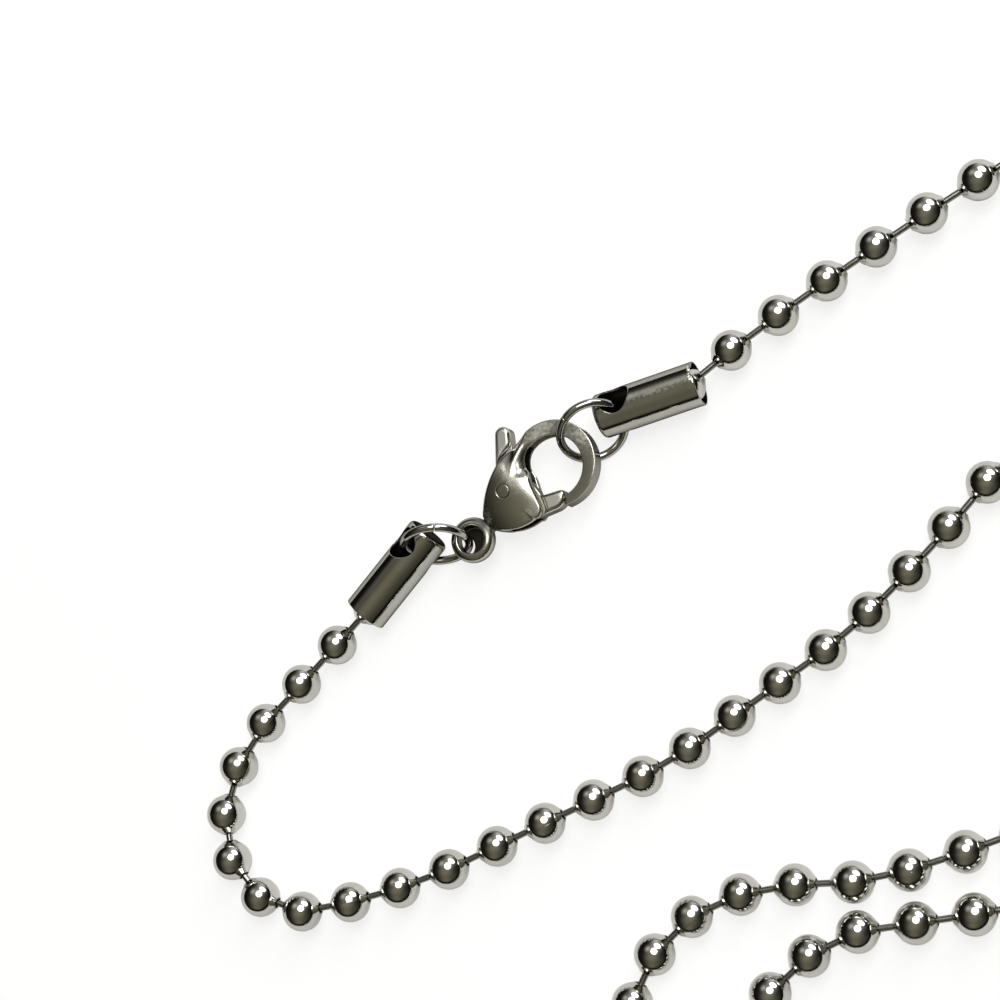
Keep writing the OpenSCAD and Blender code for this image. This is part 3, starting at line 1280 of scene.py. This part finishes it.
def handling_marks() -> bpy.types.NodeTree:
    """Fine scratches, small pits and dull patches of handled steel.

    Returns:
        A group with the outputs Scratches, Pits, Patches, Waves and Speckle, each from 0 to 1.
    """
    group = EffectGroup("handling_marks", {"Place": "NodeSocketVector", "Fineness": "NodeSocketFloat"},
                        ("Scratches", "Pits", "Patches", "Waves", "Speckle"))
    nodes = group.nodes
    place = nodes.scaled(group.inputs["Place"], group.inputs["Fineness"])
    lines = 0.0
    for way in SCRATCH_WAYS:
        streaks = nodes.noise(nodes.stretched(place, (0.5, way.thinness, way.thinness), way.turn), 1.0, 1.0)
        lines = nodes.math("MAXIMUM", nodes.fade(streaks, 0.68, 0.76), lines)
    where_scratched = nodes.fade(nodes.noise(place, 0.9), 0.42, 0.62)
    cells = nodes.add("ShaderNodeTexVoronoi", {"Vector": place, "Scale": 2.6}).outputs["Distance"]
    where_pitted = nodes.fade(nodes.noise(place, 0.7), 0.5, 0.62)
    return group.finish(
        Scratches=nodes.math("MULTIPLY", lines, where_scratched),
        Pits=nodes.math("MULTIPLY", nodes.fade(cells, 0.13, 0.05), where_pitted),
        Patches=nodes.fade(nodes.noise(place, 0.55, 4.0), 0.35, 0.7),
        Waves=nodes.noise(place, 0.8, 1.0),
        Speckle=nodes.fade(nodes.noise(place, 5.0, 4.0), 0.4, 0.62),
    )


def drawing_marks() -> bpy.types.NodeTree:
    """Fine lengthwise lines of a drawn surface.

    Returns:
        A group with the outputs Lines and Sheen, each from 0 to 1.
    """
    group = EffectGroup("drawing_marks", {"Place": "NodeSocketVector", "Fineness": "NodeSocketFloat"},
                        ("Lines", "Sheen"))
    nodes = group.nodes
    place = nodes.scaled(group.inputs["Place"], group.inputs["Fineness"])
    lines = nodes.noise(nodes.stretched(place, (0.22, 14, 14)), 1.0, 3.0)
    sheen = nodes.noise(nodes.stretched(place, (0.5, 2.4, 2.4)), 1.0, 5.0)
    return group.finish(Lines=lines, Sheen=nodes.fade(sheen, 0.35, 0.7))


def ball_marks() -> bpy.types.NodeTree:
    """Rolled seam from hole to hole, and creases round the neck.

    Returns:
        A group with the outputs Seam and Creases, each from 0 to 1.
    """
    group = EffectGroup("ball_marks", {"Place": "NodeSocketVector", "Tone": "NodeSocketFloat"},
                        ("Seam", "Creases"))
    nodes = group.nodes
    tone = group.inputs["Tone"]
    x, y, _ = nodes.add("ShaderNodeSeparateXYZ", {0: group.inputs["Place"]}).outputs
    squares = [nodes.math("MULTIPLY", part, part) for part in (x, y)]
    from_axis = nodes.math("SQRT", nodes.math("ADD", *squares))
    outside = nodes.fade(from_axis, 0.4, 0.5)
    seam = nodes.math("MULTIPLY", nodes.fade(nodes.math("ABSOLUTE", y), 0.03, 0.008), nodes.fade(x, 0.1, 0.3))
    some_balls = nodes.fade(tone, 0.3, 0.45)
    seam = nodes.math("MULTIPLY", seam, nodes.math("MULTIPLY", outside, some_balls))
    near_hole = nodes.math("MULTIPLY", outside, nodes.fade(from_axis, 0.85, 0.5))
    around = nodes.add("ShaderNodeCombineXYZ", {0: nodes.math("DIVIDE", x, from_axis),
                                                1: nodes.math("DIVIDE", y, from_axis), 2: tone}).outputs[0]
    creases = nodes.math("MULTIPLY", near_hole, nodes.noise(nodes.stretched(around, (1, 1, 40)), 3.0))
    return group.finish(Seam=seam, Creases=creases)


@dataclass(frozen=True)
class SteelFinish:
    """One steel finish.

    Attributes:
        name: The material's name.
        tint: Its colour outside the dull patches and the painted shade.
        dull_tint: Its colour in the dull patches.
        gloss: Roughness where it is smoothest.
        dull: Roughness where it is dullest.
        edge: How bright it stays where it is seen at a low angle.
        fineness: Size of its marks, as their number over a length.
        scratch_depth: Depth of the scratches, in millimetres.
        pit_depth: Depth of the pits, in millimetres.
        wave_depth: Depth of the soft waves of the surface, in millimetres.
        drawn_depth: Depth of lengthwise drawing lines, or 0 where there are none.
        mottle: How uneven its worn places are.
        is_chain: Whether it is the balls' finish, with their seam, creases and tone.
        scratch_dull: Roughness that a scratch adds.
        sheen_dull: Roughness that the drawn surface's sheen adds.
        tone_dull: Roughness that a ball's tone adds.
        wear_dull: Roughness that a worn place adds.
        painted_shade_dull: Roughness that the painted shade adds.
        seam_depth: Depth of a ball's seam, in millimetres.
        seam_painted_shade: Shade painted dark in a ball's seam.
        crease_height: Height of the creases round a ball's neck, in millimetres.
        wear_height: Height of the worn places' roughness, in millimetres.
    """

    name: str
    tint: Colour
    dull_tint: Colour
    gloss: float
    dull: float
    edge: float
    fineness: float = 1.0
    scratch_depth: float = 0.0006
    pit_depth: float = 0.004
    wave_depth: float = 0.0
    drawn_depth: float = 0.0
    mottle: float = 0.6
    is_chain: bool = False
    scratch_dull: float = 0.12
    sheen_dull: float = 0.03
    tone_dull: float = 0.04
    wear_dull: float = 0.5
    painted_shade_dull: float = 0.3
    seam_depth: float = 0.003
    seam_painted_shade: float = 0.3
    crease_height: float = 0.005
    wear_height: float = 0.002

    def material(self, groups: dict[str, bpy.types.NodeTree]) -> bpy.types.Material:
        """Builds the material.

        Args:
            groups: The effect groups, by name.

        Returns:
            The material.
        """
        material = bpy.data.materials.new(self.name)
        material.use_nodes = True
        nodes = Nodes(material.node_tree)
        own = nodes.attribute("place", "Vector")
        painted_shade = nodes.attribute("painted_shade")
        place = own
        if self.is_chain:
            place = nodes.scaled(nodes.add("ShaderNodeTexCoord").outputs["Object"], 1 / MM)
        marks = nodes.effect(groups["handling_marks"], Place=place, Fineness=self.fineness)
        height = nodes.math("MULTIPLY", marks["Scratches"], -self.scratch_depth * MM)
        height = nodes.math("MULTIPLY_ADD", marks["Pits"], -self.pit_depth * MM, height)
        height = nodes.math("MULTIPLY_ADD", marks["Waves"], self.wave_depth * MM, height)
        tint = nodes.mix(marks["Patches"], (*self.tint, 1), (*self.dull_tint, 1))
        rough = nodes.math("MULTIPLY_ADD", marks["Patches"], self.dull - self.gloss, self.gloss)
        rough = nodes.math("MULTIPLY_ADD", marks["Scratches"], self.scratch_dull, rough)
        if self.drawn_depth:
            drawn = nodes.effect(groups["drawing_marks"], Place=own, Fineness=self.fineness)
            height = nodes.math("MULTIPLY_ADD", drawn["Lines"], self.drawn_depth * MM, height)
            rough = nodes.math("MULTIPLY_ADD", drawn["Sheen"], self.sheen_dull, rough)
        if self.is_chain:
            tone = nodes.attribute("tone")
            ball = nodes.effect(groups["ball_marks"], Place=own, Tone=tone)
            height = nodes.math("MULTIPLY_ADD", ball["Seam"], -self.seam_depth * MM, height)
            height = nodes.math("MULTIPLY_ADD", ball["Creases"], self.crease_height * MM, height)
            # A ball's seam is painted dark as shade, like its hollows
            painted_shade = nodes.math("MAXIMUM", painted_shade, nodes.math("MULTIPLY", ball["Seam"], self.seam_painted_shade))
            rough = nodes.math("MULTIPLY_ADD", tone, self.tone_dull, rough)
        else:
            uneven = nodes.math("MULTIPLY_ADD", marks["Speckle"], self.mottle, 1 - self.mottle)
            wear = nodes.math("MULTIPLY", nodes.attribute("wear"), uneven)
            height = nodes.math("MULTIPLY_ADD", wear, self.wear_height * MM, height)
            rough = nodes.math("MULTIPLY_ADD", wear, self.wear_dull, rough)
        # Painted shade: the steel darkens toward a near-black colour and roughens where the shade mark says
        rough = nodes.math("MULTIPLY_ADD", painted_shade, self.painted_shade_dull, rough)
        tint = nodes.mix(painted_shade, tint, PAINTED_SHADE_STEEL)
        bump = nodes.add("ShaderNodeBump", {"Height": height, "Strength": 1.0, "Distance": 1.0}).outputs[0]
        shader = nodes.add("ShaderNodeBsdfPrincipled", {
            "Base Color": tint, "Metallic": 1.0, "Roughness": rough, "Normal": bump,
            "Specular Tint": (self.edge, self.edge, self.edge, 1),
        })
        nodes.add("ShaderNodeOutputMaterial", {"Surface": shader.outputs[0]})
        return material


def direction(azimuth: float, elevation: float) -> Vector:
    """Way that an azimuth and an elevation give, both in degrees."""
    across, high = polar(1, elevation)
    return Vector((*(across * polar(1, azimuth)), high))


@dataclass(frozen=True)
class Window:
    """A softbox, as seen from the necklace.

    Attributes:
        name: The lamp's name.
        azimuth: Its way in the plan, in degrees.
        elevation: Its height over the surface, in degrees.
        width: Its width in degrees.
        height: Its height in degrees.
        shine: Its brightness, where a paper-white picture point is 1.
    """

    name: str
    azimuth: float
    elevation: float
    width: float
    height: float
    shine: float


@dataclass(frozen=True)
class Glow:
    """A soft bright place on the room's walls or ceiling.

    Attributes:
        azimuth: Its way in the plan, in degrees.
        elevation: Its height over the surface, in degrees.
        sharpness: How fast it fades away from its middle.
        colour: Its brightness in red, green and blue.
    """

    azimuth: float
    elevation: float
    sharpness: float
    colour: Colour


@dataclass
class Studio:
    """Pale table, dim olive room, softboxes and the camera.

    Attributes:
        eye: The camera's place, in millimetres.
        leans: How fast the surface comes nearer across and down the picture.
        lens: Focal length, in millimetres.
        lamp_distance: Distance of the softboxes, in metres.
        windows: The softboxes.
        glows: Soft bright places of the room, which stay clear of its dark foot.
        low_glow: One that reaches down to the table.
        dark_to: Rise, as part of the distance, over which the dark foot of the room ends.
        room: Colour of the room elsewhere.
        white: Brightness of the backdrop to the camera, and the table's as the steel sees it.
        paper: Brightness of the table to the camera, which the windows light.
        lift: Light that the table gives off, to the camera alone.
        fill: Light that the table gives off, to the steel alone.
        satin: Roughness of the table.
        satin_shine: How strongly the table mirrors.
        half: Half of the table's width, in metres.
        clip: Nearest and furthest distance that the camera sees, in metres.
    """

    eye: tuple[float, float, float] = (25.11, 40.95, 134.91)
    leans: tuple[float, float] = (0.38535, 0.13969)
    lens: float = 86.4
    lamp_distance: float = 0.6
    windows: tuple[Window, ...] = (
        Window("window_high", 66, 65, 36, 36, 3.6),
        Window("window_low", 65, 30, 36, 25, 3.6),
    )
    glows: tuple[Glow, ...] = (
        Glow(300, 82, 5, (0.2, 0.19, 0.14)),
        Glow(262, 25, 10, (0.13, 0.125, 0.09)),
        Glow(312, 25, 6, (0.04, 0.04, 0.03)),
        Glow(70, 45, 8, (0.34, 0.34, 0.33)),
        Glow(129, 50, 40, (0.45, 0.45, 0.41)),
        Glow(220, 58, 16, (0.04, 0.039, 0.03)),
    )
    low_glow: Glow = Glow(80, 8, 20, (0.55, 0.55, 0.54))
    dark_to: tuple[float, float] = (0.15, 0.34)
    room: Colour = (0.008, 0.0075, 0.006)
    white: float = 0.93
    paper: float = 0.36
    lift: float = 0.79
    fill: float = 0.12
    satin: float = 0.6
    satin_shine: float = 0.2
    half: float = 4.0
    clip: tuple[float, float] = (0.005, 20)

    def camera_axes(self) -> Matrix:
        """Works out how the camera is turned.

        Returns:
            The camera's right, up and back directions, as columns.
        """
        across, down = self.leans
        up = -Vector((across, down, 1)).normalized()
        east = (Vector((1, 0, 0)) - up.x * up).normalized()
        north = up.cross(east)
        right, low, away = (Vector((east[i], north[i], up[i])) for i in range(3))
        return Matrix((right, -low, -away)).transposed()

    def add_camera(self) -> None:
        """Puts the camera where the photographer stood."""
        camera = bpy.data.cameras.new("camera")
        camera.lens = self.lens
        camera.clip_start, camera.clip_end = self.clip
        holder = bpy.data.objects.new("camera", camera)
        holder.matrix_world = Matrix.Translation(Vector(self.eye) * MM) @ self.camera_axes().to_4x4()
        bpy.context.scene.collection.objects.link(holder)
        bpy.context.scene.camera = holder

    def add_windows(self) -> None:
        """Hangs the softboxes round the necklace."""
        for window in self.windows:
            way = direction(window.azimuth, window.elevation)
            light = bpy.data.lights.new(window.name, "AREA")
            light.shape = "ELLIPSE"
            light.size = 2 * self.lamp_distance * math.tan(math.radians(window.width / 2))
            light.size_y = 2 * self.lamp_distance * math.tan(math.radians(window.height / 2))
            light.energy = window.shine * math.pi * light.size * light.size_y * math.pi / 4
            holder = bpy.data.objects.new(window.name, light)
            holder.location = way * self.lamp_distance
            holder.rotation_mode = "QUATERNION"
            holder.rotation_quaternion = way.to_track_quat("Z", "Y")
            holder.visible_camera = False
            bpy.context.scene.collection.objects.link(holder)

    def add_room(self) -> None:
        """Dark room with soft bright places, which the steel mirrors."""
        world = bpy.data.worlds.new("room")
        bpy.context.scene.world = world
        world.use_nodes = True
        nodes = Nodes(world.node_tree)
        way = nodes.add("ShaderNodeTexCoord").outputs["Generated"]
        high = nodes.add("ShaderNodeSeparateXYZ", {0: way}).outputs[2]
        above = nodes.fade(high, self.dark_to[0], self.dark_to[1])
        colour = (*self.room, 1)
        for glow in (*self.glows, self.low_glow):
            toward = nodes.add("ShaderNodeVectorMath", {0: way, 1: direction(glow.azimuth, glow.elevation)},
                               operation="DOT_PRODUCT").outputs["Value"]
            amount = nodes.math("POWER", nodes.math("MAXIMUM", toward, 0.0), glow.sharpness)
            if glow is not self.low_glow:
                amount = nodes.math("MULTIPLY", amount, above)
            colour = nodes.mix(amount, colour, (*glow.colour, 1), "ADD")
        room = nodes.add("ShaderNodeBackground", {"Color": colour, "Strength": 1.0})
        wall = nodes.add("ShaderNodeBackground", {"Color": (*(self.white,) * 3, 1), "Strength": 1.0})
        seen = nodes.add("ShaderNodeLightPath").outputs["Is Camera Ray"]
        both = nodes.add("ShaderNodeMixShader", {0: seen, 1: room.outputs[0], 2: wall.outputs[0]})
        nodes.add("ShaderNodeOutputWorld", {"Surface": both.outputs[0]})

    def add_table(self) -> None:
        """White satin table top, which shows bright to the camera."""
        mesh = bpy.data.meshes.new("table_top")
        corners = [(x * self.half, y * self.half, 0) for x, y in ((-1, -1), (1, -1), (1, 1), (-1, 1))]
        mesh.from_pydata(corners, [], [(0, 1, 2, 3)])
        material = bpy.data.materials.new("white_table")
        material.use_nodes = True
        nodes = Nodes(material.node_tree)
        satin = nodes.add("ShaderNodeBsdfPrincipled", {
            "Base Color": (*(self.white,) * 3, 1), "Roughness": self.satin,
            "Specular IOR Level": self.satin_shine, "Emission Strength": self.fill,
        })
        paper = nodes.add("ShaderNodeBsdfDiffuse", {"Color": (*(self.paper,) * 3, 1)})
        glow = nodes.add("ShaderNodeEmission", {"Color": (1, 1, 1, 1), "Strength": self.lift})
        bright = nodes.add("ShaderNodeAddShader", {0: paper.outputs[0], 1: glow.outputs[0]})
        seen = nodes.add("ShaderNodeLightPath").outputs["Is Camera Ray"]
        top = nodes.add("ShaderNodeMixShader", {0: seen, 1: satin.outputs[0], 2: bright.outputs[0]})
        nodes.add("ShaderNodeOutputMaterial", {"Surface": top.outputs[0]})
        mesh.materials.append(material)
        table = bpy.data.objects.new("table_top", mesh)
        bpy.context.scene.collection.objects.link(table)

    def build(self) -> None:
        """Builds the whole studio."""
        bpy.context.scene.view_settings.view_transform = "Standard"
        self.add_camera()
        self.add_windows()
        self.add_room()
        self.add_table()
        LOG.info("studio: camera at %s mm, %d softboxes", self.eye, len(self.windows))


# Near-black colour that the steel is painted to, as shade
PAINTED_SHADE_STEEL = (0.03, 0.028, 0.022, 1)
CHAIN = SteelFinish("chain_polish", tint=(0.74, 0.735, 0.7), dull_tint=(0.69, 0.68, 0.63),
                    gloss=0.04, dull=0.1, edge=0.95, wave_depth=0.012, is_chain=True)
CAP = SteelFinish("cap_drawn", tint=(0.6, 0.595, 0.55), dull_tint=(0.56, 0.55, 0.49),
                  gloss=0.03, dull=0.06, edge=0.22, wave_depth=0.004, drawn_depth=0.0006)
WIRE = SteelFinish("wire_polish", tint=(0.6, 0.595, 0.57), dull_tint=(0.52, 0.51, 0.47),
                   gloss=0.05, dull=0.12, edge=0.08, wave_depth=0.004)
CASTING = SteelFinish("clasp_polish", tint=(0.65, 0.64, 0.58), dull_tint=(0.58, 0.57, 0.5), gloss=0.12,
                      dull=0.22, edge=0.2, scratch_depth=0.0004, pit_depth=0.002, wave_depth=0.006)
SATIN = SteelFinish("lever_satin", tint=(0.66, 0.65, 0.6), dull_tint=(0.61, 0.6, 0.53),
                    gloss=0.14, dull=0.22, edge=0.2, scratch_depth=0.0008, mottle=0.15)

CAPS = (
    EndCap(Side.RIGHT, ball=(13.3, 8.47), depth=0.86, axis=15, leave=38, lean=34, bevel=0.2),
    EndCap(Side.LEFT, ball=(-6.72, -3.68), depth=0.7, axis=228.5, leave=-135.5, lean=-32,
           worn_places=(Spot((5, 0.3, 1.3), (1, 0.3, 0.5), 0.16),)),
)
JUMP_RINGS = (
    JumpRing(Side.RIGHT, centre=(7.68, 6.17, 1.82), tilt=52.3, toward=-56.8, joint_at=200),
    JumpRing(Side.LEFT, centre=(-2.18, -0.21, 2.1), tilt=68.3, toward=-80.9, joint_at=160),
)


def main() -> None:
    """Builds the studio and every piece."""
    logging.basicConfig(level=logging.INFO, format="%(message)s", stream=sys.stdout)
    Studio().build()
    groups = {build.__name__: build() for build in (handling_marks, drawing_marks, ball_marks)}
    finishes = (CHAIN, CAP, WIRE, CASTING, SATIN)
    chain_steel, cap_steel, wire_steel, casting_steel, satin_steel = (f.material(groups) for f in finishes)

    halves = zip(CAPS, (RIGHT_ROWS, LEFT_ROWS))
    right, left = (walk(cap.ball_at(), cap.leave, rows, Ball().radius) for cap, rows in halves)
    dice = np.random.default_rng(SEED)
    BallChain(Side.RIGHT, right, 2 * right[0] - right[1], left[-1], reaches=True).build(chain_steel, dice)
    BallChain(Side.LEFT, left, 2 * left[0] - left[1], right[-1], reaches=False).build(chain_steel, dice)
    for cap in CAPS:
        cap.build(cap_steel)
    for ring in JUMP_RINGS:
        ring.build(wire_steel)
    Clasp().build(casting_steel, satin_steel)


if __name__ == "__main__":
    main()
